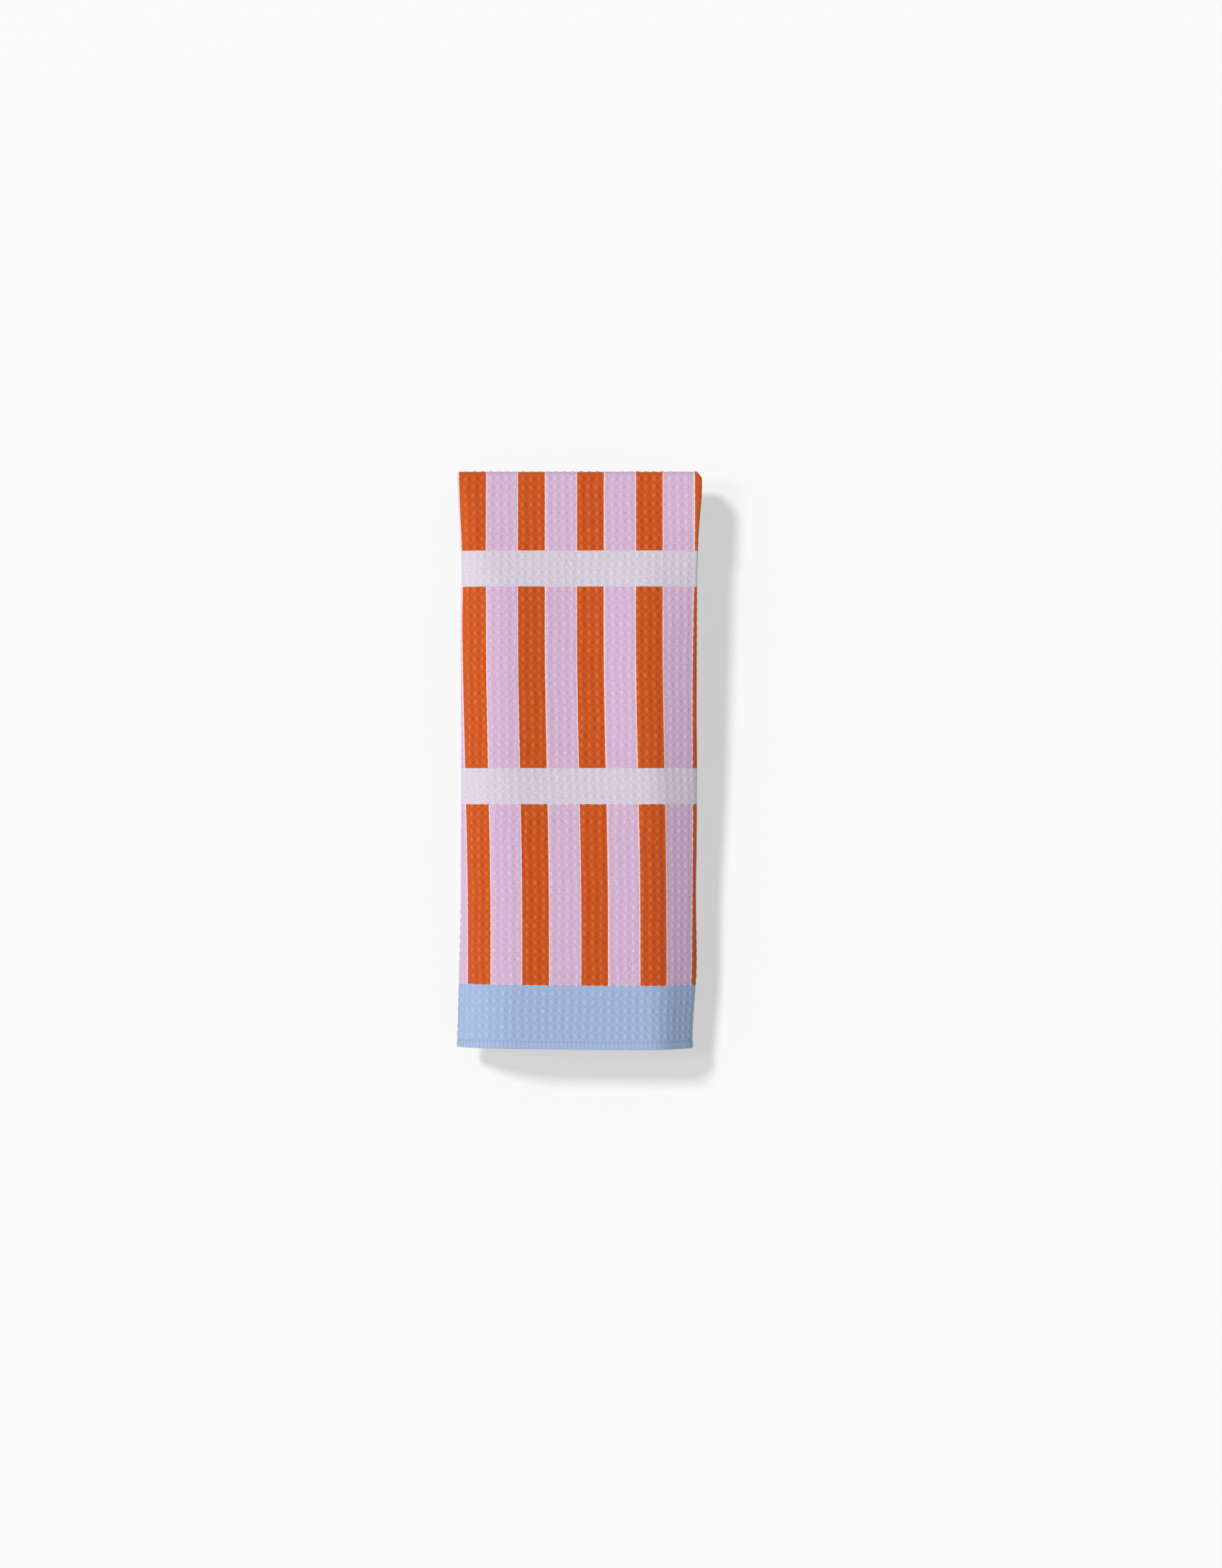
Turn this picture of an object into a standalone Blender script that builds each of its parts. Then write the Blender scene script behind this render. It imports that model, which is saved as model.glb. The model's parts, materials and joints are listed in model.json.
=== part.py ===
"""Golf towel of waffle-weave microfibre, folded in thirds and hung at its middle over a flat rail.

World frame: X runs along the rail, -Y is the front, +Z is up. The origin is the centre of the
underside of the innermost layer, where the towel rests on the rail's top face.

A place in the folded stack is x, across the towel, and u, the distance out from the rail.
The left third is folded in first, the right third over it, and both lie against the rail,
behind the face. The same folded section runs down the front, over the rail and down the back.
"""

import math

import bmesh
import bpy
import numpy as np

# Driving dimensions, in metres.
CLOTH_LENGTH = 0.762  # end to end, along the face layer
CLOTH_WIDTH = 0.4572  # side to side, opened flat
LAYER = 0.00085  # one thickness of cloth
LAYER_GAP = 0.00035  # air between two folded layers
RAIL_DEPTH = 0.0127  # front to back of the rail
RAIL_EDGE_RADIUS = 0.001  # rounding of the rail's two upper edges
END_HEM = 0.0051  # height of the hem at each end
SIDE_HEM = 0.0051  # width of the hem along each long side
SEAM = 0.0005  # width of a line of stitches
EDGE_SETBACK = 0.002  # how far a folded-in side stops short of the opposite fold
JOINT_GAP = 0.0003  # clearance where two pieces of one layer meet
FOLD_STEPS = 8  # facets round a side fold
BEND_STEPS = 6  # facets round the rail's edge

# Place of each third in the folded stack, counted out from the rail.
RIGHT_THIRD = 0
LEFT_THIRD = 1
FACE = 2

PITCH = LAYER + LAYER_GAP
FOLDED_HALF = CLOTH_WIDTH / 3 / 2
LEFT_FOLD_RADIUS = (FACE - LEFT_THIRD) * PITCH / 2
RIGHT_FOLD_RADIUS = (FACE - RIGHT_THIRD) * PITCH / 2
LEFT_FOLD_X = -FOLDED_HALF + LEFT_FOLD_RADIUS + LAYER / 2
RIGHT_FOLD_X = FOLDED_HALF - RIGHT_FOLD_RADIUS - LAYER / 2

SADDLE_HALF = RAIL_DEPTH / 2 - RAIL_EDGE_RADIUS
FACE_BEND = (RAIL_EDGE_RADIUS + FACE * PITCH + LAYER / 2) * math.pi / 2
FLAP_LENGTH = (CLOTH_LENGTH - 2 * SADDLE_HALF - 2 * FACE_BEND) / 2

FRONT = -1
BACK = 1


def linear(hex_colour):
    """An sRGB colour such as D4B4D3 as the linear colour that a shader takes."""
    channels = [int(hex_colour[i : i + 2], 16) / 255 for i in (0, 2, 4)]
    return [c / 12.92 if c <= 0.04045 else ((c + 0.055) / 1.055) ** 2.4 for c in channels] + [1.0]


def make_material(name, hex_colour, roughness):
    """A cloth or thread finish: no metal, little gloss."""
    material = bpy.data.materials.new(name)
    material.use_nodes = True
    shader = material.node_tree.nodes["Principled BSDF"]
    shader.inputs["Base Color"].default_value = linear(hex_colour)
    shader.inputs["Roughness"].default_value = roughness
    shader.inputs["Metallic"].default_value = 0.0
    material.diffuse_color = linear(hex_colour)
    return material


def layer_centre(layer):
    """Distance u from the rail to the middle of a layer's thickness."""
    return layer * PITCH + LAYER / 2


def fold(x, layer, radius, turn):
    """Half circle round a side fold, from one layer to another, as x and u points.

    turn is -1 for the fold at the left, which climbs to the face, and +1 for the fold at the
    right, which comes down from it. layer is the inner one of the two that the fold joins.
    """
    angle = np.linspace(-math.pi / 2, math.pi / 2, FOLD_STEPS + 1) * -turn
    across = x + turn * radius * np.cos(angle)
    out = layer_centre(layer) + radius + radius * np.sin(angle)
    return np.column_stack((across, out))


def flat_strip(x_from, x_to, layer):
    """Middle line of a flat stretch of one layer."""
    return np.array([(x_from, layer_centre(layer)), (x_to, layer_centre(layer))])


def face_strip():
    """Middle line of the face with the two folds that turn it back at its sides."""
    left = fold(LEFT_FOLD_X, LEFT_THIRD, LEFT_FOLD_RADIUS, -1)
    right = fold(RIGHT_FOLD_X, RIGHT_THIRD, RIGHT_FOLD_RADIUS, 1)
    return np.vstack((left, right))


def whole_strip():
    """Middle line of the whole width of cloth, from one side edge to the other."""
    left_edge = np.array([(RIGHT_FOLD_X - EDGE_SETBACK, layer_centre(LEFT_THIRD))])
    right_edge = np.array([(LEFT_FOLD_X + EDGE_SETBACK, layer_centre(RIGHT_THIRD))])
    return np.vstack((left_edge, face_strip(), right_edge))


def walls(middle):
    """The two surfaces of a strip of cloth, half a layer to each side of its middle line."""
    step = np.gradient(middle, axis=0)
    step /= np.linalg.norm(step, axis=1)[:, None]
    normal = np.column_stack((-step[:, 1], step[:, 0]))
    return middle + normal * LAYER / 2, middle - normal * LAYER / 2


def carry(name, middle, stations, parent, location, material):
    """Solid of a strip of cloth carried through stations.

    Each station is the point on the rail's surface, y and z, and the unit direction out of
    the rail there. Walls, both ends and both edges are closed with quads.
    """
    section = np.concatenate(walls(middle))
    count = len(middle)
    mesh_maker = bmesh.new()
    rings = []
    for y, z, out_y, out_z in stations:
        ring = [mesh_maker.verts.new((x, y + out_y * u, z + out_z * u)) for x, u in section]
        rings.append(ring)
    for ring, following in zip(rings, rings[1:]):
        for wall in (0, count):
            for i in range(wall, wall + count - 1):
                mesh_maker.faces.new((ring[i], ring[i + 1], following[i + 1], following[i]))
        for i in (0, count - 1):
            j = i + count
            mesh_maker.faces.new((ring[i], ring[j], following[j], following[i]))
    for ring in (rings[0], rings[-1]):
        for i in range(count - 1):
            mesh_maker.faces.new((ring[i], ring[i + 1], ring[i + 1 + count], ring[i + count]))
    bmesh.ops.recalc_face_normals(mesh_maker, faces=mesh_maker.faces)
    mesh = bpy.data.meshes.new(name)
    mesh_maker.to_mesh(mesh)
    mesh_maker.free()
    mesh.shade_smooth()
    mesh.set_sharp_from_angle(angle=math.radians(30))
    mesh.materials.append(material)
    piece = bpy.data.objects.new(name, mesh)
    piece.parent = parent
    piece.location = location
    bpy.context.scene.collection.objects.link(piece)
    return piece


def make_pivot(name, location):
    """An empty that pieces are placed from."""
    pivot = bpy.data.objects.new(name, None)
    pivot.empty_display_size = 0.02
    pivot.location = location
    bpy.context.scene.collection.objects.link(pivot)
    return pivot


def side_pieces():
    """Strips that make up the two folded-in thirds: cloth, line of stitches and side hem.

    Each is a name, its layer, and where it starts and ends across the towel.
    """
    strips = []
    for third, layer, start, edge in (
        ("left", LEFT_THIRD, LEFT_FOLD_X, RIGHT_FOLD_X - EDGE_SETBACK),
        ("right", RIGHT_THIRD, RIGHT_FOLD_X, LEFT_FOLD_X + EDGE_SETBACK),
    ):
        way = math.copysign(1, edge - start)
        stitches = edge - way * SIDE_HEM
        before = stitches - way * SEAM / 2
        beyond = stitches + way * SEAM / 2
        strips.append((f"{third}_third", layer, start + way * JOINT_GAP, before - way * JOINT_GAP))
        strips.append((f"{third}_side_seam", layer, before, beyond))
        strips.append((f"{third}_side_hem", layer, beyond + way * JOINT_GAP, edge))
    return strips


def make_saddle(finishes):
    """The stretch that lies on the rail's top face, between its two rounded edges."""
    seat = make_pivot("rail_seat", (0, 0, 0))
    half = SADDLE_HALF - JOINT_GAP
    stations = [(-half, 0, 0, 1), (half, 0, 0, 1)]
    carry("saddle_face_panel", face_strip(), stations, seat, (0, 0, 0), finishes["panel"])
    for name, layer, x_from, x_to in side_pieces():
        strip = flat_strip(x_from, x_to, layer)
        finish = finishes[name.split("_")[-1]]
        carry(f"saddle_{name}", strip, stations, seat, (0, 0, 0), finish)


def make_bend(end, side, pivot, finishes):
    """The quarter turn of each layer over one edge of the rail."""
    stations = []
    for step in range(BEND_STEPS + 1):
        angle = math.pi / 2 * step / BEND_STEPS
        out_y = side * math.sin(angle)
        out_z = math.cos(angle)
        stations.append((RAIL_EDGE_RADIUS * out_y, RAIL_EDGE_RADIUS * out_z, out_y, out_z))
    left_edge = RIGHT_FOLD_X - EDGE_SETBACK
    right_edge = LEFT_FOLD_X + EDGE_SETBACK
    strips = {
        "face": face_strip(),
        "left_third": flat_strip(LEFT_FOLD_X + JOINT_GAP, left_edge, LEFT_THIRD),
        "right_third": flat_strip(RIGHT_FOLD_X - JOINT_GAP, right_edge, RIGHT_THIRD),
    }
    for name, strip in strips.items():
        carry(f"{end}_bend_{name}", strip, stations, pivot, (0, 0, 0), finishes["panel"])


def make_flap(end, side, pivot, finishes):
    """The stretch that hangs down one face of the rail, with its hem at the bottom."""

    def hang(name, strip, top, bottom, finish):
        """A piece of the flap between two distances below the rail's rounded edge."""
        stations = [(side * RAIL_EDGE_RADIUS, z, side, 0) for z in (0, top - bottom)]
        carry(f"{end}_{name}", strip, stations, pivot, (0, 0, -top), finishes[finish])

    stitches = FLAP_LENGTH - END_HEM
    above = stitches - SEAM / 2
    below = stitches + SEAM / 2
    hang("face_panel", face_strip(), JOINT_GAP, above - JOINT_GAP, "panel")
    for name, layer, x_from, x_to in side_pieces():
        strip = flat_strip(x_from, x_to, layer)
        hang(name, strip, JOINT_GAP, above - JOINT_GAP, name.split("_")[-1])
    hang("end_seam", whole_strip(), above, below, "seam")
    hang("end_hem", whole_strip(), below + JOINT_GAP, FLAP_LENGTH, "end")


for old in list(bpy.data.objects):
    bpy.data.objects.remove(old, do_unlink=True)

waffle = make_material("waffle_microfibre_lilac", "D4B4D3", 0.95)
side_hem_cloth = make_material("hemmed_microfibre_lilac", "CFAFCE", 0.9)
end_hem_cloth = make_material("hemmed_microfibre_blue", "A4B8D9", 0.9)
thread = make_material("polyester_thread", "B4C4E0", 0.6)
FINISHES = {
    "panel": waffle,
    "third": waffle,
    "hem": side_hem_cloth,
    "end": end_hem_cloth,
    "seam": thread,
}

make_saddle(FINISHES)
for end_name, end_side in (("front", FRONT), ("back", BACK)):
    hinge = make_pivot(f"{end_name}_flap_hinge", (0, end_side * SADDLE_HALF, -RAIL_EDGE_RADIUS))
    make_bend(end_name, end_side, hinge, FINISHES)
    make_flap(end_name, end_side, hinge, FINISHES)
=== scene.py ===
"""Looks for a golf towel: one sheet of waffle-weave microfibre, folded in thirds and hung at its
middle over a flat rail.

Every piece is laid out flat first, as on a cutting table, and then one function folds the sheet
and hangs it. A flat place is (across, along, height): across the sheet from its left side edge,
along it from its front end, and height above the middle of its thickness, on the printed side.
Lengths are in metres and angles in radians.
"""

import json
import math

import bpy
import numpy as np
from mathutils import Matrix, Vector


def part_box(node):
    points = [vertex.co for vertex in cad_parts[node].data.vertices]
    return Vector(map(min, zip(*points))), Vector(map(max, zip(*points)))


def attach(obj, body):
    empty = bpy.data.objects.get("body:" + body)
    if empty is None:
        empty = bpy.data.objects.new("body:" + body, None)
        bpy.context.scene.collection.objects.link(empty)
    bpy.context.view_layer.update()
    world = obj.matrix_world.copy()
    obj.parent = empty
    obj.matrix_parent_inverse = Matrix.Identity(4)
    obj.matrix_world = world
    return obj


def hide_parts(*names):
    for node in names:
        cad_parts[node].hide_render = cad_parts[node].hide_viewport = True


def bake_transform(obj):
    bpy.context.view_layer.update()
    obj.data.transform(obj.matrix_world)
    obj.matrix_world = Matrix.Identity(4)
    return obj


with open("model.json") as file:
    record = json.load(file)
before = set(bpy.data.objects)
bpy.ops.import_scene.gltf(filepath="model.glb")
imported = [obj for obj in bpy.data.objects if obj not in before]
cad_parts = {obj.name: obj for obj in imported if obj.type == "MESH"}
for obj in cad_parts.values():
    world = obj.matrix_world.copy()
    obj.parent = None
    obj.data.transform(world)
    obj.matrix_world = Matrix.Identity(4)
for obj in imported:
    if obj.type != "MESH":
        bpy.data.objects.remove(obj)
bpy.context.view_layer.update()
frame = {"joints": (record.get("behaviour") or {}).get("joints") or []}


# ---------------------------------------------------------------------------- the middle third
# The third of the sheet that shows, with the fold at each of its sides. One length of printed
# waffle microfibre, hung at its middle over a rail 12.7 mm deep and held by its own weight. It
# lies close to the rail, and rolls back at its sides further down.

SHEET_WIDTH = 0.4572
SHEET_LENGTH = 0.762
CREST = SHEET_LENGTH / 2
END_HEM = 0.0051
SIDE_HEM = 0.0051

hinges = {joint["child"]: joint["pos_m"] for joint in frame["joints"]}
SADDLE_HALF = hinges["back_flap"][1]
EDGE_RADIUS = -hinges["back_flap"][2]
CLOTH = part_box("saddle_right_third")[1].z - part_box("saddle_right_third")[0].z
FACE_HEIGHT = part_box("saddle_face_panel")[1].z - CLOTH / 2
PITCH = (FACE_HEIGHT - CLOTH / 2) / 2
FACE_BEND = (EDGE_RADIUS + FACE_HEIGHT) * math.pi / 2
HANG = -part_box("front_end_hem")[0].z - EDGE_RADIUS

# The face's first orange stripe starts here, and the face is four stripe repeats wide.
FACE_START = 0.1494
STRIPE_REPEAT = 0.0381
FACE_WIDTH = 4 * STRIPE_REPEAT
FACE_MIDDLE = FACE_WIDTH / 2

# How each half hangs. Rolls are how far the face's sides have turned by the bottom, away from the
# viewer if positive on the front and negative on the back. Bow is how far its middle stands out
# from the rail's face there, starting at the drop called clear, and sway is how far it drifts.
# Slip, spill, pressed and lower move the side folds, loft parts the layers, and ripple is a wave.
# The folds stay far enough apart that neither third reaches past the fold on its other side.
FRONT = {
    "side": -1,
    "left_roll": math.radians(44),
    "right_roll": math.radians(42),
    "left_slip": 0.0108,
    "left_spill": 0.0008,
    "right_spill": 0.0,
    "pressed": 0.0021,
    "lower": 0.0034,
    "bow": 0.0068,
    "clear": 0.0,
    "sway": 0.0028,
    "loft": 0.0006,
    "ripple": math.radians(5.5),
}
BACK = {
    "side": 1,
    "left_roll": math.radians(-42),
    "right_roll": math.radians(-33),
    "left_slip": 0.0,
    "left_spill": -0.0003,
    "right_spill": -0.0006,
    "pressed": 0.0,
    "lower": 0.0,
    "bow": -0.0095,
    "clear": 0.034,
    "sway": -0.0004,
    "loft": 0.0004,
    "ripple": math.radians(3.0),
}


def ease(value, start, end):
    """Smooth step from 0 at start to 1 at end: 3 t squared less 2 t cubed."""
    t = np.clip((value - start) / (end - start), 0, 1)
    return t * t * (3 - 2 * t)


def side_folds(drop, hang):
    """Where the face ends at its left and right folds, across the print, for each drop.

    The front's right fold is pressed wide beside the rail, but not over the crest, and spreads
    again lower down. Its left one slips outwards, by a power of the drop towards the bottom.
    """
    slip = np.clip((drop - 0.10) / 0.27, 0, 1) ** 1.35
    below = ease(drop, 0.0, 0.03)
    left = -0.0001 - hang["left_spill"] * below - hang["left_slip"] * slip
    pressed = ease(drop, -0.005, 0.001) * (1 - ease(drop, 0.004, 0.040))
    lower = 0.45 * ease(drop, 0.07, 0.20) + 0.55 * ease(drop, 0.26, 0.33)
    right = FACE_WIDTH + 0.0009 + hang["right_spill"] * below
    return left, right + hang["pressed"] * pressed + hang["lower"] * lower


def face_turn(place, drop, right, hang):
    """Angle that the face has turned to the right of straight ahead.

    Each side turns back by its roll, times a power of how near its edge is. The left side's roll
    soon reaches its full size, over a width that grows below the rail, and the right side's
    grows with about the square root of the drop, and a little more near the bottom. A slow
    cosine ripple crosses the face below the rail, and dies out three quarters of the way down.
    """
    left_width = 0.012 + 0.026 * ease(drop, 0.015, 0.10)
    left_growth = 1 - np.exp(-((np.clip(drop, 0, 1) / 0.047) ** 0.8))
    beside_rail = 1 + 1.2 * (1 - ease(drop, 0.015, 0.10))
    near_left = np.clip(1 - place / left_width, 0, 2) ** 1.33
    right_growth = np.clip((drop - 0.034) / (HANG - 0.034), 0, 1) ** 0.55
    near_right = 1 - (right - place) / 0.042
    near_right = ease(near_right, 0, 0.6) + 0.45 * ease(near_right, 0.82, 1.0)
    left_turn = np.clip(hang["left_roll"] * left_growth * beside_rail * near_left, -1.15, 1.15)
    right_growth = right_growth + 0.10 * ease(drop, 0.31, 0.36)
    right_turn = hang["right_roll"] * right_growth * near_right
    strength = hang["ripple"] * ease(drop, 0.03, 0.09) * (1 - ease(drop, 0.15, 0.27))
    inside = np.clip(place / 0.03, 0, 1) * np.clip((right - place) / 0.03, 0, 1)
    ripple = strength * np.cos(2 * np.pi * (place - 0.045) / 0.120) * inside
    return right_turn - left_turn + ripple


SECTION_STEPS = 320
DROP_STEP = 0.0005
DROP_START = -0.0120
DROP_END = 0.380
FACE_SHIFT = -0.00085
BOW_GROWTH = 0.060


def section_table(hang):
    """The face's middle line at every half millimetre of drop, from small steps turned by
    face_turn and added up. Gives x across, u out from the rail, and the turn, at even places
    between the two folds."""
    drop = np.arange(DROP_START, DROP_END, DROP_STEP)[:, None]
    left, right = side_folds(drop, hang)
    place = left + (right - left) * np.linspace(0, 1, SECTION_STEPS + 1)
    turn = face_turn(place, drop, right, hang)
    step = (right - left) / SECTION_STEPS
    x = np.zeros_like(turn)
    u = np.zeros_like(turn)
    x[:, 1:] = np.cumsum((np.cos(turn[:, 1:]) + np.cos(turn[:, :-1])) / 2 * step, axis=1)
    u[:, 1:] = -np.cumsum((np.sin(turn[:, 1:]) + np.sin(turn[:, :-1])) / 2 * step, axis=1)
    row = np.arange(len(drop))[:, None]
    middle = (FACE_MIDDLE - left) / (right - left) * SECTION_STEPS
    x = x - read_table(x, row, middle)
    u = u - read_table(u, row, middle)
    x = x + hang["sway"] * ease(drop, 0.095, 0.29) + FACE_SHIFT
    below_rail = np.clip(drop - hang["clear"], 0, 1)
    u = u + FACE_HEIGHT + hang["bow"] * (1 - np.exp(-below_rail / BOW_GROWTH))
    return x, u, turn


def read_table(values, row, column):
    """Value of a table at a row and column that need not be whole, from its four neighbours."""
    row = np.clip(row, 0, values.shape[0] - 1)
    column = np.clip(column, 0, values.shape[1] - 1)
    r = np.minimum(row.astype(int), values.shape[0] - 2)
    c = np.minimum(column.astype(int), values.shape[1] - 2)
    down, over = row - r, column - c
    upper = values[r, c] * (1 - over) + values[r, c + 1] * over
    lower = values[r + 1, c] * (1 - over) + values[r + 1, c + 1] * over
    return upper * (1 - down) + lower * down


def layer_pitch(place, drop, right, hang):
    """Distance between neighbouring layers: close at the rail, loose further down, and fuller
    towards the right fold, which wraps round a layer."""
    loose = ease(drop, 0.03, 0.25) * hang["loft"]
    full = 1 + 1.3 * np.exp(-(((right - place) / 0.012) ** 2))
    return PITCH + loose * full


def over_rail(distance, side):
    """Path of the rail's surface, by distance from the crest along the face.

    Flat over the top, a quarter turn of the edge's radius, then straight down. Returns the
    surface's y and z and the outward direction's y and z.
    """
    turned = np.clip((distance - SADDLE_HALF) / FACE_BEND, 0, 1) * math.pi / 2
    drop = np.clip(distance - SADDLE_HALF - FACE_BEND, 0, None)
    y = side * (np.clip(distance, None, SADDLE_HALF) + EDGE_RADIUS * np.sin(turned))
    z = EDGE_RADIUS * (np.cos(turned) - 1) - drop
    return y, z, side * np.sin(turned), np.cos(turned)


def middle_surface(across, along, hang):
    """The sheet's middle surface, folded and hung.

    On the face a place lies on the section's line. Past a fold it goes round a half circle, then
    back along the same line, one layer's pitch behind the face for the left third and two for
    the right third.
    """
    distance = (CREST - along) * -hang["side"]
    drop = distance - SADDLE_HALF - FACE_BEND
    left, right = side_folds(drop, hang)
    place = across - FACE_START
    left_radius = layer_pitch(left, drop, right, hang) / 2
    right_radius = layer_pitch(right, drop, right, hang)
    left_angle = np.clip(left - place, 0, None) / left_radius
    right_angle = np.clip(place - right, 0, None) / right_radius
    left_run = np.clip(left_angle - math.pi, 0, None) * left_radius
    right_run = np.clip(right_angle - math.pi, 0, None) * right_radius
    place = np.clip(place, left, right) + left_run - right_run
    row = (drop - DROP_START) / DROP_STEP
    column = (place - left) / (right - left) * SECTION_STEPS
    x, u, turn = (read_table(table, row, column) for table in hang["tables"])
    pitch = layer_pitch(place, drop, right, hang)
    back = np.where(left_run > 0, pitch, np.where(right_run > 0, 2 * pitch, 0))
    round_left = (left_angle > 0) & (left_run <= 0)
    round_right = (right_angle > 0) & (right_run <= 0)
    back = np.where(round_left, left_radius * (1 - np.cos(left_angle)), back)
    back = np.where(round_right, right_radius * (1 - np.cos(right_angle)), back)
    out = np.where(round_left, -left_radius * np.sin(left_angle), 0)
    out = np.where(round_right, right_radius * np.sin(right_angle), out)
    x = x + out * np.cos(turn) - back * np.sin(turn)
    u = u - out * np.sin(turn) - back * np.cos(turn)
    y, z, out_y, out_z = over_rail(distance, hang["side"])
    lift = 0.0010 * ease(drop, 0.25, 0.36) * ease(-x, -0.04, 0.08)
    return np.stack((x, y + out_y * u, z + out_z * u + lift), axis=-1)


def hang_up(across, along, height, hang):
    """Folds and hangs flat places: the middle surface, plus height along its normal, which is
    the cross product of the surface's slopes across and along."""
    across, along, height = np.broadcast_arrays(across, along, height)
    near = 0.0001
    right_of, left_of = (middle_surface(across + step, along, hang) for step in (near, -near))
    past, before = (middle_surface(across, along + step, hang) for step in (near, -near))
    slope_across, slope_along = right_of - left_of, past - before
    normal = np.cross(slope_across, slope_along)
    normal /= np.linalg.norm(normal, axis=-1, keepdims=True)
    return middle_surface(across, along, hang) + normal * height[..., None]


FRONT["tables"] = section_table(FRONT)
BACK["tables"] = section_table(BACK)

# The weave's long floats of warp and weft stand up as ridges round wells 5.3 mm across and
# 5.55 mm down. The upright floats stand highest, beside each well, and lean. They part in a
# small dip where four cells meet.
CELL_ACROSS = 0.0053
CELL_ALONG = 0.00555
WELL_DEPTH = 0.00044
FLOAT_HEIGHT = 0.00040
DIP_DEPTH = 0.00020
PRINT_RISE = 0.00004
HEM_DIP = 0.00030
FOLD_SPREAD = 0.004


def scatter(i, j, seed):
    """A fixed number from 0 to 1 for each whole-number pair, from the fraction of a large sine."""
    value = np.sin(i * 12.9898 + j * 78.233 + seed * 37.719) * 43758.5453
    return value - np.floor(value)


def weave(across, along):
    """Height of the weave's relief, and the painted light and shade for it, from 0 in a well to 1 on
    a float.

    A well is the product of two raised cosines, one cell long each way. A float is a leaning
    bell curve across, by a raised cosine along. Slow sines bend the rows a little, and each
    well and float differs at random.
    """
    bend = 0.00030 * np.sin(along / 0.0091) + 0.00022 * np.sin(along / 0.0043 + across / 0.013)
    sag = 0.00028 * np.sin(across / 0.0077 + 1.3) + 0.00020 * np.sin(across / 0.0037 - along / 0.011)
    u = (across + bend) / CELL_ACROSS
    v = (along + sag) / CELL_ALONG - 0.05 * np.sin(2 * np.pi * u)
    well = ((0.5 - 0.5 * np.cos(2 * np.pi * u)) * (0.5 - 0.5 * np.cos(2 * np.pi * v))) ** 0.9
    well = well * (0.75 + 0.4 * scatter(np.floor(u), np.floor(v), 1))
    from_float = u - np.round(u) + 0.34 * (v - np.floor(v) - 0.5)
    float_bell = np.exp(-((from_float / 0.165) ** 2)) * (0.5 - 0.5 * np.cos(2 * np.pi * v)) ** 1.3
    float_bell = float_bell * (0.55 + 0.6 * scatter(np.round(u), np.floor(v), 2))
    dip = (0.5 + 0.5 * np.cos(2 * np.pi * u)) * (0.5 + 0.5 * np.cos(2 * np.pi * v)) ** 2
    relief = FLOAT_HEIGHT * float_bell - WELL_DEPTH * well - DIP_DEPTH * dip
    # The second value is painted shade in the wells and painted light on the floats, for the colour.
    return relief, np.clip(0.42 + 0.58 * float_bell - 0.30 * well - 0.12 * dip, 0, 1)


def cloth_height(across, along):
    """Height of the printed side over the sheet's middle, and the painted light and shade of its
    weave.

    The weave fades out at the hems, where the cloth is turned and flat, and the surface dips
    under each hem's strip. A bell curve presses it to under half its depth round each fold.
    """
    from_end = np.minimum(along, SHEET_LENGTH - along)
    from_side = np.minimum(across, SHEET_WIDTH - across)
    woven = ease(from_end, END_HEM, END_HEM + 0.0012) * ease(from_side, SIDE_HEM, SIDE_HEM + 0.001)
    left_fold, right_fold = FACE_START - 0.001, FACE_START + FACE_WIDTH + 0.004
    folded = np.exp(-(((across - left_fold) / FOLD_SPREAD) ** 2))
    folded = folded + np.exp(-(((across - right_fold) / FOLD_SPREAD) ** 2))
    woven = woven * (1 - 0.6 * folded)
    relief, shade = weave(across, along)
    under = 1 - ease(np.minimum(from_end, from_side), END_HEM - 0.0008, END_HEM)
    height = CLOTH / 2 + PRINT_RISE + relief * woven - HEM_DIP * under
    return height, 0.5 + (shade - 0.5) * woven


def make_mesh(name, points, faces, flat, material, attributes=()):
    """Smooth-shaded mesh object from points and arrays of faces, one face's indices a row, with
    each point's flat across and along as its UV map."""
    mesh = bpy.data.meshes.new(name)
    corners = np.concatenate([face.ravel() for face in faces]).astype(np.int32)
    sizes = np.concatenate([np.full(len(face), face.shape[1]) for face in faces])
    mesh.vertices.add(len(points))
    mesh.vertices.foreach_set("co", points.astype(np.float32).ravel())
    mesh.loops.add(len(corners))
    mesh.loops.foreach_set("vertex_index", corners)
    mesh.polygons.add(len(sizes))
    starts = np.concatenate(([0], np.cumsum(sizes)[:-1])).astype(np.int32)
    mesh.polygons.foreach_set("loop_start", starts)
    mesh.update(calc_edges=True)
    layer = mesh.uv_layers.new(name="flat_cloth")
    layer.data.foreach_set("uv", flat[corners].astype(np.float32).ravel())
    for key, values in dict(attributes).items():
        attribute = mesh.attributes.new(key, "FLOAT", "POINT")
        attribute.data.foreach_set("value", values.astype(np.float32).ravel())
    mesh.materials.append(material)
    mesh.validate()
    mesh.shade_smooth()
    piece = bpy.data.objects.new(name, mesh)
    bpy.context.scene.collection.objects.link(piece)
    return piece


def grid_faces(index, turned=False):
    """Four-sided faces between neighbouring rows and columns of a grid of point indices."""
    corners = [index[:-1, :-1], index[:-1, 1:], index[1:, 1:], index[1:, :-1]]
    if turned:
        corners.reverse()
    return np.stack([corner.ravel() for corner in corners], axis=1)


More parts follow.
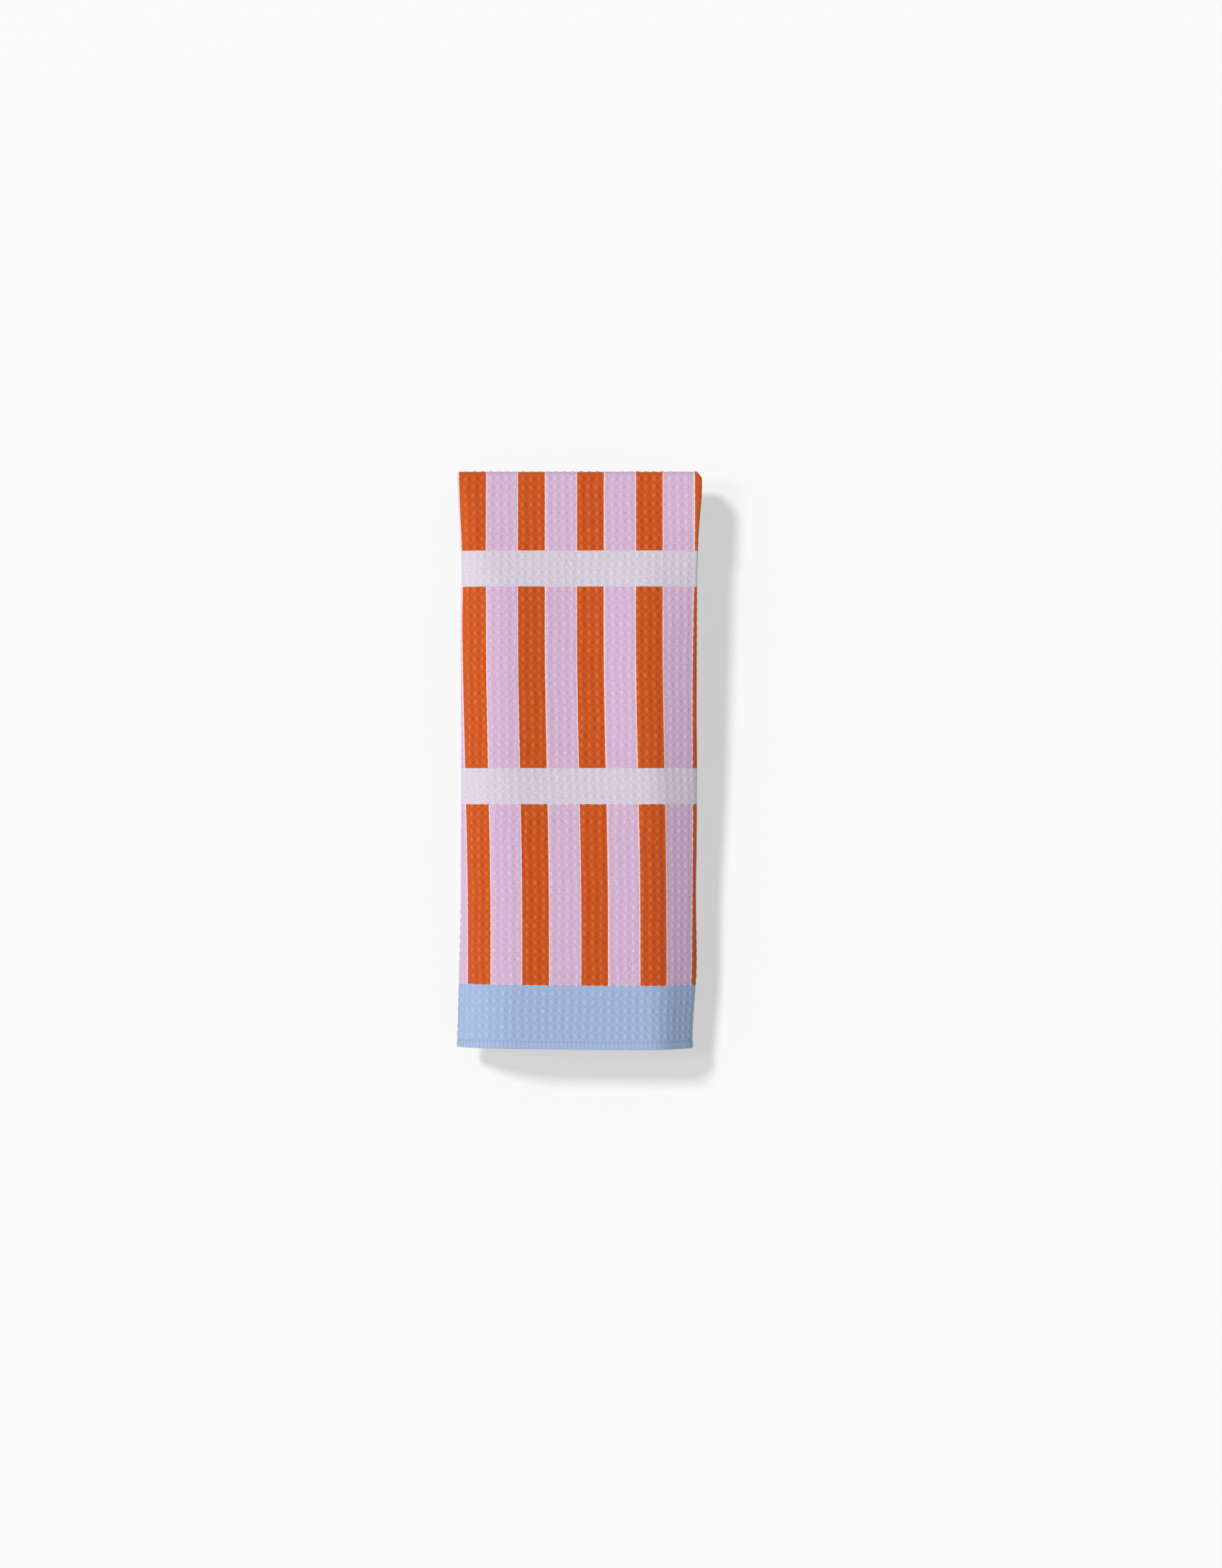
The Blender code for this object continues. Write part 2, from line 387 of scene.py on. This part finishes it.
def cloth_layer(name, columns, rows, hang, material):
    """A closed stretch of the sheet. Its printed side has the weave. Its other side is plainer,
    with every second point of it, and the rim joins the two."""
    height, shade = cloth_height(columns[None], rows[:, None])
    printed = hang_up(columns[None], rows[:, None], height, hang)
    plain = hang_up(columns[None, ::2], rows[::2, None], -CLOTH / 2, hang)
    top = np.arange(height.size).reshape(height.shape)
    low = height.size + np.arange(plain[..., 0].size).reshape(plain.shape[:2])
    faces = [grid_faces(top), grid_faces(low, turned=True)]
    rims = ((top[0], low[0]), (top[:, -1], low[:, -1]))
    rims += ((top[-1, ::-1], low[-1, ::-1]), (top[::-1, 0], low[::-1, 0]))
    for above, below in rims:
        first, middle, last = above[:-2:2], above[1::2], above[2::2]
        faces.append(np.stack((middle, first, below[:-1]), axis=1))
        faces.append(np.stack((last, middle, below[1:]), axis=1))
        faces.append(np.stack((middle, below[:-1], below[1:]), axis=1))
    flat = np.stack(np.meshgrid(columns, rows), axis=-1)
    flat = np.concatenate((flat.reshape(-1, 2), flat[::2, ::2].reshape(-1, 2)))
    printed_side = np.repeat((1.0, 0.0), (top.size, low.size))
    shades = np.concatenate((shade.ravel(), np.full(low.size, 0.5)))
    points = np.concatenate((printed.reshape(-1, 3), plain.reshape(-1, 3)))
    looks = {"weave_painted_shade": shades, "printed_side": printed_side}
    return make_mesh(name, points, faces, flat, material, looks)


def spread(stops):
    """Even steps between stops, each given as (start, step), up to the last one. Each stretch has
    an even number of steps, so that the plain side can use every second point."""
    values = []
    for (start, step), (end, _) in zip(stops, stops[1:]):
        steps = 2 * max(1, round((end - start) / step / 2))
        values.append(np.linspace(start, end, steps, endpoint=False))
    return np.concatenate(values + [[stops[-1][0]]])


def flap_blend(piece):
    """Bakes a piece's placement into its points; hang_up has already bent it over the rail."""
    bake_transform(piece)


def linear(colour):
    """An sRGB hex colour as the linear colour that a shader takes."""
    channels = [int(colour[i : i + 2], 16) / 255 for i in (1, 3, 5)]
    return [c / 12.92 if c <= 0.04045 else ((c + 0.055) / 1.055) ** 2.4 for c in channels] + [1.0]


def add(tree, kind, inputs=(), **settings):
    """Adds a shader node, with its settings and with values or links for its inputs."""
    made = tree.nodes.new("ShaderNode" + kind)
    for key, value in settings.items():
        setattr(made, key, value)
    for socket, value in dict(inputs).items():
        if isinstance(value, bpy.types.NodeSocket):
            tree.links.new(value, made.inputs[socket])
        else:
            made.inputs[socket].default_value = value
    return made


# Each stripe colour has a painted lit copy for the weave's floats and a painted shaded copy for its
# wells.
ORANGE_LIT_ON_FLOATS = linear("#E36F2D")
ORANGE_SHADED_IN_WELLS = linear("#BA3F05")
LILAC_LIT_ON_FLOATS = linear("#DEBDDC")
LILAC_SHADED_IN_WELLS = linear("#CFAFCD")
PALE = linear("#D7CDDB")
BLUE_LIT_ON_FLOATS = linear("#ACC1E4")
BLUE_SHADED_IN_WELLS = linear("#9BB0D3")
GROUND = linear("#F1EDEE")
ORANGE_SHARE = 0.4535
STRIPED_FIELD = 0.1172
PALE_BAND = 0.0233
HAIR_LINE = 0.024
HAIR_STRENGTH = 1.7


def printed_microfibre(name, fleck_size, fleck_relief):
    """Dye printed on one side of white microfibre, laid out in flat cloth places.

    Orange and lilac stripes run along the sheet, pale bands cross them and each end is blue. The
    split fibres scatter light, so the cloth is quite matt, with a faint bloom where it turns
    away and a fine light and dark fleck from its loops. Each colour is painted lighter on the
    weave's floats and darker in its wells, as painted light and shade.
    """
    material = bpy.data.materials.new(name)
    material.use_nodes = True
    tree = material.node_tree
    tree.nodes.clear()
    flat = add(tree, "UVMap", uv_map="flat_cloth").outputs[0]
    shade = add(tree, "Attribute", attribute_name="weave_painted_shade").outputs["Fac"]
    # The print's edges follow the loops, so they waver by a quarter of a millimetre.
    loops = add(tree, "TexNoise", {"Vector": flat, "Scale": 700.0, "Detail": 2.0}).outputs["Color"]
    waver = add(tree, "VectorMath", {0: loops, 1: (0.5, 0.5, 0.5)}, operation="SUBTRACT")
    moved = add(
        tree,
        "VectorMath",
        {0: waver.outputs[0], 1: (0.0006, 0.0006, 0.0), 2: flat},
        operation="MULTIPLY_ADD",
    )
    places = add(tree, "SeparateXYZ", {0: moved.outputs[0]})
    across = add(tree, "Math", {0: places.outputs[0], 1: FACE_START}, operation="SUBTRACT")
    repeats = add(tree, "Math", {0: across.outputs[0], 1: STRIPE_REPEAT}, operation="DIVIDE")
    stripe = add(tree, "Math", {0: repeats.outputs[0]}, operation="FRACT").outputs[0]
    is_orange = add(tree, "Math", {0: stripe, 1: ORANGE_SHARE}, operation="LESS_THAN").outputs[0]
    from_crest = add(tree, "Math", {0: places.outputs[1], 1: CREST}, operation="SUBTRACT")
    from_crest = add(tree, "Math", {0: from_crest.outputs[0]}, operation="ABSOLUTE")
    past_field = add(
        tree, "Math", {0: from_crest.outputs[0], 1: STRIPED_FIELD / 2}, operation="SUBTRACT"
    )
    bands = add(
        tree, "Math", {0: past_field.outputs[0], 1: STRIPED_FIELD + PALE_BAND}, operation="DIVIDE"
    ).outputs[0]
    band = add(tree, "Math", {0: bands}, operation="FRACT").outputs[0]
    pale_share = PALE_BAND / (STRIPED_FIELD + PALE_BAND)
    is_pale = add(tree, "Math", {0: band, 1: pale_share}, operation="LESS_THAN").outputs[0]
    is_blue = add(tree, "Math", {0: bands, 1: 2.0}, operation="GREATER_THAN").outputs[0]
    # The wells are painted darker and the tops of the floats lighter: painted shade in the wells and
    # painted light on the floats, over a little more dye in the wells.
    orange = add(
        tree, "Mix", {0: shade, 6: ORANGE_SHADED_IN_WELLS, 7: ORANGE_LIT_ON_FLOATS}, data_type="RGBA"
    ).outputs[2]
    lilac = add(
        tree, "Mix", {0: shade, 6: LILAC_SHADED_IN_WELLS, 7: LILAC_LIT_ON_FLOATS}, data_type="RGBA"
    ).outputs[2]
    blue = add(
        tree, "Mix", {0: shade, 6: BLUE_SHADED_IN_WELLS, 7: BLUE_LIT_ON_FLOATS}, data_type="RGBA"
    ).outputs[2]
    # The two dyes meet loosely, so a hair line of the paler ground shows beside the orange.
    after = add(
        tree,
        "MapRange",
        {0: stripe, 1: ORANGE_SHARE, 2: ORANGE_SHARE + HAIR_LINE, 3: HAIR_STRENGTH, 4: 0.0},
    )
    before = add(
        tree, "MapRange", {0: stripe, 1: 1.0 - HAIR_LINE, 2: 1.0, 3: 0.0, 4: HAIR_STRENGTH}
    )
    hair = add(
        tree, "Math", {0: after.outputs[0], 1: before.outputs[0]}, operation="MAXIMUM"
    ).outputs[0]
    lilac = add(tree, "Mix", {0: hair, 6: lilac, 7: linear("#F6D9D6")}, data_type="RGBA").outputs[2]
    colour = add(tree, "Mix", {0: is_orange, 6: lilac, 7: orange}, data_type="RGBA").outputs[2]
    colour = add(tree, "Mix", {0: is_pale, 6: colour, 7: PALE}, data_type="RGBA").outputs[2]
    colour = add(tree, "Mix", {0: is_blue, 6: colour, 7: blue}, data_type="RGBA").outputs[2]
    # A quarter of the dye goes through to the other side.
    printed = add(tree, "Attribute", attribute_name="printed_side").outputs["Fac"]
    amount = add(tree, "MapRange", {0: printed, 3: 0.25, 4: 1.0}).outputs[0]
    colour = add(tree, "Mix", {0: amount, 6: GROUND, 7: colour}, data_type="RGBA").outputs[2]
    fleck = add(
        tree, "TexNoise", {"Vector": flat, "Scale": 1 / fleck_size, "Detail": 3.0}
    ).outputs[0]
    tone = add(tree, "MapRange", {0: fleck, 1: 0.25, 2: 0.75, 3: 0.72, 4: 1.12}).outputs[0]
    # The weave's painted light and shade lightens every colour on the floats and darkens it in the
    # wells, pale bands included, on top of the random fleck.
    tone = add(tree, "Math", {0: shade, 1: 0.16, 2: tone}, operation="MULTIPLY_ADD").outputs[0]
    colour = add(tree, "VectorMath", {0: colour, "Scale": tone}, operation="SCALE").outputs[0]
    relief = add(
        tree, "Bump", {"Height": fleck, "Strength": 1.0, "Distance": fleck_relief}
    ).outputs[0]
    shader = add(
        tree,
        "BsdfPrincipled",
        {
            "Base Color": colour,
            "Roughness": 0.92,
            "Normal": relief,
            "Sheen Weight": 0.12,
            "Sheen Roughness": 0.6,
            "Specular IOR Level": 0.12,
        },
    )
    output = add(tree, "OutputMaterial")
    tree.links.new(shader.outputs[0], output.inputs[0])
    return material


# The fleck is drawn at 0.9 mm, about twice the real loops, so that it shows. It reads as soft,
# matt cloth, with the waffle's own wells and floats in the mesh.
woven_finish = printed_microfibre("printed microfibre, waffle woven", 0.0009, 0.00022)

LEFT_JOIN = FACE_START - 0.0164
RIGHT_JOIN = FACE_START + FACE_WIDTH + 0.0156
UNDER_HEM = 0.0022
face_columns = spread(
    [
        (LEFT_JOIN, 0.00065),
        (FACE_START + 0.001, CELL_ACROSS / 6),
        (FACE_START + FACE_WIDTH - 0.002, 0.00065),
        (RIGHT_JOIN, 0),
    ]
)
front_rows = spread([(UNDER_HEM, CELL_ALONG / 5), (CREST, 0)])
back_rows = SHEET_LENGTH - front_rows[::-1]
halves = (("front", FRONT, front_rows), ("back", BACK, back_rows))

for end, hang, rows in halves:
    piece = cloth_layer(f"{end}_face_cloth", face_columns, rows, hang, woven_finish)
    flap_blend(piece)
    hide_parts("saddle_face_panel", f"{end}_bend_face", f"{end}_face_panel")


# ---------------------------------------------------------------------------- the left third
# The sheet's left third, folded in behind the middle one as the inner layer of the stack. It is
# the same cloth, cut in one with the face, and its printed side faces the rail.

left_columns = spread([(SIDE_HEM - 0.0025, CELL_ACROSS / 3), (LEFT_JOIN, 0)])
for end, hang, rows in halves:
    piece = cloth_layer(f"{end}_left_third_cloth", left_columns, rows, hang, woven_finish)
    flap_blend(piece)
    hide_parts("saddle_left_third", f"{end}_bend_left_third", f"{end}_left_third")


# ---------------------------------------------------------------------------- the right third
# The sheet's right third, folded in last, over the left one. Its printed side lies against the
# rail, and shows when a flap is lifted.

right_columns = spread([(RIGHT_JOIN, CELL_ACROSS / 4), (SHEET_WIDTH - SIDE_HEM + 0.0025, 0)])
for end, hang, rows in halves:
    piece = cloth_layer(f"{end}_right_third_cloth", right_columns, rows, hang, woven_finish)
    flap_blend(piece)
    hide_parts("saddle_right_third", f"{end}_bend_right_third", f"{end}_right_third")


# ---------------------------------------------------------------------------- the end hems
# Each end of the sheet is turned up twice and pressed: a flat strip 5 mm high and a little
# thicker than the cloth, with a rounded lower edge. Its thread draws it in at each stitch.

STITCH = 0.00274
HEM_HALF = CLOTH / 2 + 0.00022
pressed_finish = printed_microfibre("printed microfibre, turned and pressed", 0.0007, 0.00008)


def hem_outline(width):
    """A hem's section, as (distance from the edge, height), gone round once: a half-round edge,
    then the printed side, then the other side."""
    lower = np.linspace(0, math.pi, 7)
    edge = np.column_stack((HEM_HALF - HEM_HALF * np.sin(lower), -HEM_HALF * np.cos(lower)))
    upper = [(width * 0.5, HEM_HALF), (width - 0.0002, HEM_HALF), (width, HEM_HALF - 0.00025)]
    return np.concatenate((edge, upper, [(distance, -height) for distance, height in upper[::-1]]))


def hem_strip(name, width, run, lengthwise, far, hang, material):
    """A hem's section carried along a run, pinched a little at each stitch.

    The run goes along the sheet if lengthwise, and otherwise across it, and the hem is at the
    far edge of the sheet or the near one.
    """
    distance, height = hem_outline(width).T[:, :, None]
    height = height - np.sign(height) * 0.00008 * np.cos(np.pi * run / STITCH) ** 2
    span = SHEET_WIDTH if lengthwise else SHEET_LENGTH
    distance = np.broadcast_to(span - distance if far else distance, height.shape)
    run = np.broadcast_to(run, height.shape)
    across, along = (distance, run) if lengthwise else (run, distance)
    points = hang_up(across, along, height, hang)
    index = np.arange(height.size).reshape(height.shape)
    turned = lengthwise != far
    ring = index[::-1] if turned else index
    sides = grid_faces(np.concatenate((index, index[:1])), turned)
    faces = [sides, ring[None, :, 0], ring[None, ::-1, -1]]
    flat = np.stack((across, along), axis=-1).reshape(-1, 2)
    looks = {"weave_painted_shade": np.full(height.shape, 0.5), "printed_side": np.ones(height.shape)}
    return make_mesh(name, points.reshape(-1, 3), faces, flat, material, looks)


across_run = np.linspace(0, SHEET_WIDTH, 4 * round(SHEET_WIDTH / STITCH) + 1)
for end, hang, rows in halves:
    piece = hem_strip(
        f"{end}_end_hem_strip", END_HEM, across_run, False, end == "back", hang, pressed_finish
    )
    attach(piece, f"{end}_flap")
    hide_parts(f"{end}_end_hem")


# ---------------------------------------------------------------------------- the side hems
# The sheet's long edges, turned in and pressed the same way before the ends were. They lie
# inside the stack, each just short of the far fold.

for end, hang, rows in halves:
    first, last = (END_HEM, CREST) if end == "front" else (CREST, SHEET_LENGTH - END_HEM)
    along_run = np.linspace(first, last, 2 * round((last - first) / STITCH) + 1)
    for side in ("left", "right"):
        name = f"{end}_{side}_side_hem_strip"
        piece = hem_strip(name, SIDE_HEM, along_run, True, side == "right", hang, pressed_finish)
        flap_blend(piece)
        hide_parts(f"saddle_{side}_side_hem", f"{end}_{side}_side_hem")


# ---------------------------------------------------------------------------- the end stitching
# Spun polyester thread, 9 stitches to the inch. A row of lockstitch holds each end hem's inner
# edge, and an overedge thread also goes down and round the hem at every stitch.

THREAD = 0.00036


def polyester_thread(name, colour):
    """Spun polyester: a smooth round thread with a soft gleam and a faint diagonal twist."""
    material = bpy.data.materials.new(name)
    material.use_nodes = True
    tree = material.node_tree
    tree.nodes.clear()
    flat = add(tree, "UVMap", uv_map="flat_cloth").outputs[0]
    twist = add(tree, "TexWave", {"Vector": flat, "Scale": 500.0}, bands_direction="DIAGONAL")
    tone = add(tree, "MapRange", {0: twist.outputs[1], 3: 0.88, 4: 1.08}).outputs[0]
    shade = add(
        tree, "VectorMath", {0: linear(colour)[:3], "Scale": tone}, operation="SCALE"
    ).outputs[0]
    shader = add(
        tree,
        "BsdfPrincipled",
        {"Base Color": shade, "Roughness": 0.5, "Sheen Weight": 0.15, "Specular IOR Level": 0.35},
    )
    output = add(tree, "OutputMaterial")
    tree.links.new(shader.outputs[0], output.inputs[0])
    return material


def sewn_threads(name, centres, sideways, upright, thickness, hang, material):
    """Round threads laid out flat, then hung.

    centres is threads by stations by (across, along, height). At each station a ring of six
    points lies round it, in the plane of the sideways and upright directions, and the rings
    draw in at the thread's two ends.
    """
    threads, stations = centres.shape[:2]
    around = np.arange(6)[:, None] * math.pi / 3
    ends = np.minimum(np.arange(stations), np.arange(stations)[::-1])
    radius = np.where(ends == 0, 0.35, 1.0)[None, :, None, None] * thickness / 2
    ring = np.cos(around) * sideways[:, :, None] + np.sin(around) * upright[:, :, None]
    flat = (centres[:, :, None] + ring * radius).reshape(-1, 3)
    points = hang_up(flat[:, 0], flat[:, 1], flat[:, 2], hang)
    index = np.arange(len(flat)).reshape(threads, stations, 6)
    after = np.roll(index, -1, axis=2)
    sides = np.stack((index[:, :-1], after[:, :-1], after[:, 1:], index[:, 1:]), axis=-1)
    faces = [sides.reshape(-1, 4), index[:, 0, ::-1], index[:, -1]]
    return make_mesh(name, points, faces, flat[:, :2], material)


def lockstitch(start, end, fixed, height, lengthwise):
    """Stitches in a row, each a shallow arch a little shorter than its step: 1 less the square
    of the distance from its middle. Gives centres, sideways and upright directions."""
    count = int((end - start) / STITCH)
    middle = start + (np.arange(count)[:, None] + 0.5) * STITCH
    station = np.linspace(-1, 1, 5)[None]
    run = middle + station * 0.42 * STITCH
    lift = np.broadcast_to(height + np.sign(height) * THREAD * 0.3 * (1 - station**2), run.shape)
    held = np.full_like(run, fixed)
    places = (held, run) if lengthwise else (run, held)
    centres = np.stack((*places, lift), axis=-1)
    sideways = np.zeros_like(centres)
    sideways[..., 0 if lengthwise else 1] = 1
    upright = np.zeros_like(centres)
    upright[..., 2] = -1 if lengthwise else 1
    return centres, sideways, upright


def overedge(start, end, back):
    """Threads that go down the hem's printed side, round its lower edge and up its other side,
    leaning a little. Gives centres, sideways and upright directions."""
    count = int((end - start) / STITCH)
    first = start + (np.arange(count)[:, None] + 0.5) * STITCH
    outer = HEM_HALF + THREAD * 0.1
    lower = np.linspace(0, math.pi, 6)
    along = np.concatenate(([0.92, 0.55], (outer - outer * np.sin(lower)) / END_HEM, [0.55, 0.92]))
    along = along * END_HEM
    height = np.concatenate(([outer, outer], outer * np.cos(lower), [-outer, -outer]))
    slope = np.gradient(np.stack((along, height), axis=-1), axis=0)
    slope /= np.linalg.norm(slope, axis=1)[:, None]
    centres = np.zeros((count, len(along), 3))
    centres[..., 0] = first + np.linspace(0.2, -0.2, len(along)) * STITCH
    centres[..., 1] = SHEET_LENGTH - along if back else along
    centres[..., 2] = height
    sideways = np.zeros_like(centres)
    sideways[..., 0] = 1
    upright = np.zeros_like(centres)
    upright[..., 1] = slope[:, 1]
    upright[..., 2] = slope[:, 0] if back else -slope[:, 0]
    return centres, sideways, upright


blue_thread = polyester_thread("spun polyester thread, light blue", "#A9BEE0")
for end, hang, rows in halves:
    seam = END_HEM - 0.0002 if end == "front" else SHEET_LENGTH - END_HEM + 0.0002
    both = [
        lockstitch(0.001, SHEET_WIDTH - 0.001, seam, height, False)
        for height in (HEM_HALF, -HEM_HALF)
    ]
    laid = [np.concatenate(parts) for parts in zip(*both)]
    row = sewn_threads(f"{end}_end_lockstitch", *laid, THREAD, hang, blue_thread)
    laid = overedge(0.001, SHEET_WIDTH - 0.001, end == "back")
    edge = sewn_threads(f"{end}_end_overedge", *laid, THREAD * 0.8, hang, blue_thread)
    for piece in (row, edge):
        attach(piece, f"{end}_flap")
    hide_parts(f"{end}_end_seam")


# ---------------------------------------------------------------------------- the side stitching
# The same thread in lilac, one row of lockstitch along the inner edge of each side hem.

lilac_thread = polyester_thread("spun polyester thread, lilac", "#CDB4D0")
for end, hang, rows in halves:
    first, last = (END_HEM, CREST) if end == "front" else (CREST, SHEET_LENGTH - END_HEM)
    for side, seam in (("left", SIDE_HEM - 0.0004), ("right", SHEET_WIDTH - SIDE_HEM + 0.0004)):
        both = [
            lockstitch(first + 0.001, last - 0.0005, seam, height, True)
            for height in (HEM_HALF, -HEM_HALF)
        ]
        laid = [np.concatenate(parts) for parts in zip(*both)]
        row = sewn_threads(f"{end}_{side}_side_lockstitch", *laid, THREAD, hang, lilac_thread)
        flap_blend(row)
        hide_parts(f"saddle_{side}_side_seam", f"{end}_{side}_side_seam")


# ---------------------------------------------------------------------------- studio
# A pale wall close behind the towel takes its shadow, and a pale floor lies below. The light is
# half even, from all round, and half from a soft key on the left with a wide fill below it. The
# wall glows, and has its own lamp, so that its shadow's depth is set apart from the towel's light.

WALL_DISTANCE = 0.030
FLOOR_DROP = 0.80
WALL_GLOW = 0.55
WALL_PAINT = "#626262"


def stage_plane(name, corners, colour, glow):
    """A flat stage piece in matt paint, from its four corners. One that glows is lit evenly from
    inside, and is clear from behind, so that the towel's back can be looked at."""
    material = bpy.data.materials.new(name + ", matt painted")
    material.use_nodes = True
    tree = material.node_tree
    tree.nodes.clear()
    paint = add(tree, "BsdfDiffuse", {"Color": linear(colour)}).outputs[0]
    if glow:
        even = add(tree, "Emission", {"Color": linear("#FFFFFF"), "Strength": glow}).outputs[0]
        paint = add(tree, "AddShader", {0: paint, 1: even}).outputs[0]
        clear = add(tree, "BsdfTransparent").outputs[0]
        behind = add(tree, "NewGeometry").outputs["Backfacing"]
        paint = add(tree, "MixShader", {0: behind, 1: paint, 2: clear}).outputs[0]
    output = add(tree, "OutputMaterial")
    tree.links.new(paint, output.inputs[0])
    mesh = bpy.data.meshes.new(name)
    mesh.from_pydata(corners, [], [(0, 1, 2, 3)])
    mesh.materials.append(material)
    piece = bpy.data.objects.new(name, mesh)
    bpy.context.scene.collection.objects.link(piece)
    return piece


wall_y, floor_z = WALL_DISTANCE, -FLOOR_DROP
wall = stage_plane(
    "white_wall",
    [(-3, wall_y, floor_z), (3, wall_y, floor_z), (3, wall_y, 2), (-3, wall_y, 2)],
    WALL_PAINT,
    WALL_GLOW,
)
wall.visible_shadow = False
wall.visible_diffuse = False
stage_plane(
    "pale_floor",
    [(-3, -3, floor_z), (3, -3, floor_z), (3, 3, floor_z), (-3, 3, floor_z)],
    "#EFEFEF",
    0,
)


def far_lamp(name, heading, strength, softness):
    """A lamp so far off that its light is parallel, with softness as the angle it fills. It is
    tilted from straight down by the angle whose tangent is the heading's level part over its
    drop, and turned to face along the level part."""
    light = bpy.data.lights.new(name, "SUN")
    light.energy = strength
    light.angle = math.radians(softness)
    lamp = bpy.data.objects.new(name, light)
    level = math.hypot(heading[0], heading[1])
    turn = math.atan2(-heading[0], heading[1])
    lamp.rotation_euler = (math.atan2(level, -heading[2]), 0, turn)
    bpy.context.scene.collection.objects.link(lamp)
    return lamp


far_lamp("key_lamp", (0.68, 1.0, -0.12), 1.53, 10)
far_lamp("fill_lamp", (0.70, 0.50, 0.51), 1.92, 90)
far_lamp("back_lamp", (-0.1, -1.0, 0.0), 1.0, 60)
wall_lamp = far_lamp("wall_lamp", (0.62, 1.0, -0.53), 9.4, 10)
only_wall = bpy.data.collections.new("lit by the wall lamp")
only_wall.objects.link(wall)
wall_lamp.light_linking.receiver_collection = only_wall

world = bpy.data.worlds.new("even light")
world.use_nodes = True
world.node_tree.nodes["Background"].inputs[0].default_value = linear("#FFFFFF")
world.node_tree.nodes["Background"].inputs[1].default_value = 0.50
bpy.context.scene.world = world

# The camera looks straight at the towel's face from 3 m, a little to the right of it and below.
VIEW_HEIGHT = 1.013
VIEW_DISTANCE = 3.0
camera_data = bpy.data.cameras.new("camera")
camera_data.sensor_width = 36
camera_data.lens = camera_data.sensor_width * VIEW_DISTANCE / VIEW_HEIGHT
camera = bpy.data.objects.new("camera", camera_data)
camera.location = (0.0211, -VIEW_DISTANCE - 0.012, -0.1990)
camera.rotation_euler = (math.pi / 2, 0, 0)
bpy.context.scene.collection.objects.link(camera)
bpy.context.scene.camera = camera
bpy.context.scene.view_settings.view_transform = "Standard"
